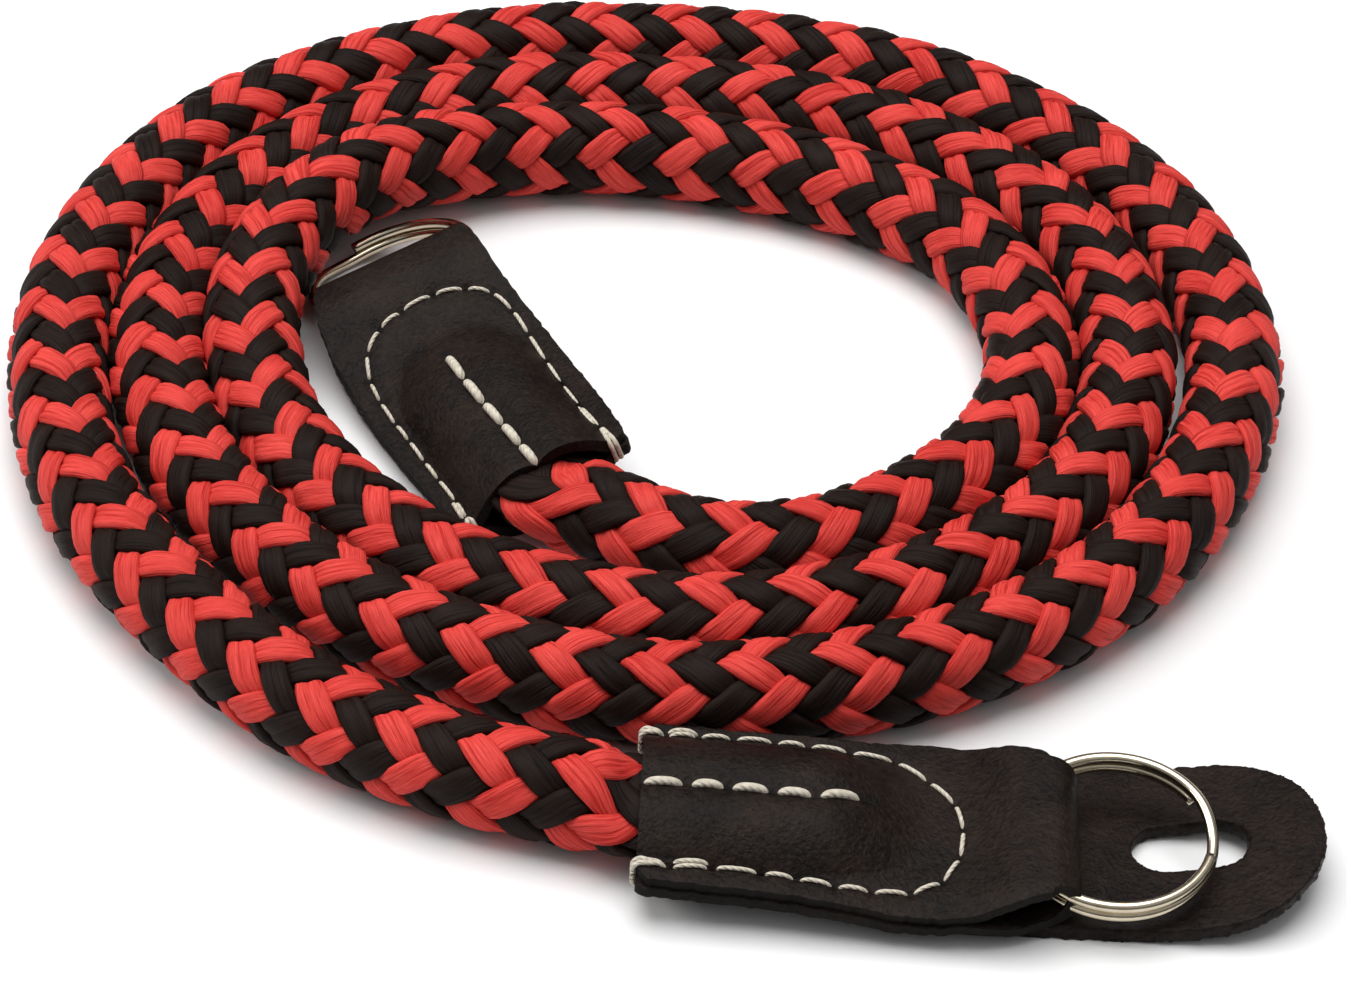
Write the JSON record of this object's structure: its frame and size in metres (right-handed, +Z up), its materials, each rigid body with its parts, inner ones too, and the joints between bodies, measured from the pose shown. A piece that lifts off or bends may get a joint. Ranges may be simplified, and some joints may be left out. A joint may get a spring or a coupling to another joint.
{
  "type": "camera neck strap",
  "caption": "Braided rope camera strap lying in a flat coil, with folded leather ends, a split ring in each, and a slotted leather flap under the outer ring.",
  "frame": {"origin": "on the surface the strap lies on, under the middle of the box round its leather ends, rings and flap", "axes": "+Z up from the surface, +X along the outer leather end from its mouth towards its ring, +Y from that end towards the coil"},
  "size_m": [0.1279, 0.1397, 0.0126],
  "materials": {
    "rope": "round braid of red and near-black polypropylene yarns, matt with a soft sheen",
    "leather": "very dark brown leather, matt, fine grain, rough cut edges",
    "ring_metal": "bright nickel-plated steel wire"
  },
  "bodies": {
    "root": {"rope": "rope", "rope_end_front": "rope", "rope_end_inner": "rope", "leather_end_front": "leather", "leather_end_inner": "leather", "flap_front": "leather", "ring_front": "ring_metal", "ring_inner": "ring_metal"}
  },
  "joints": []
}
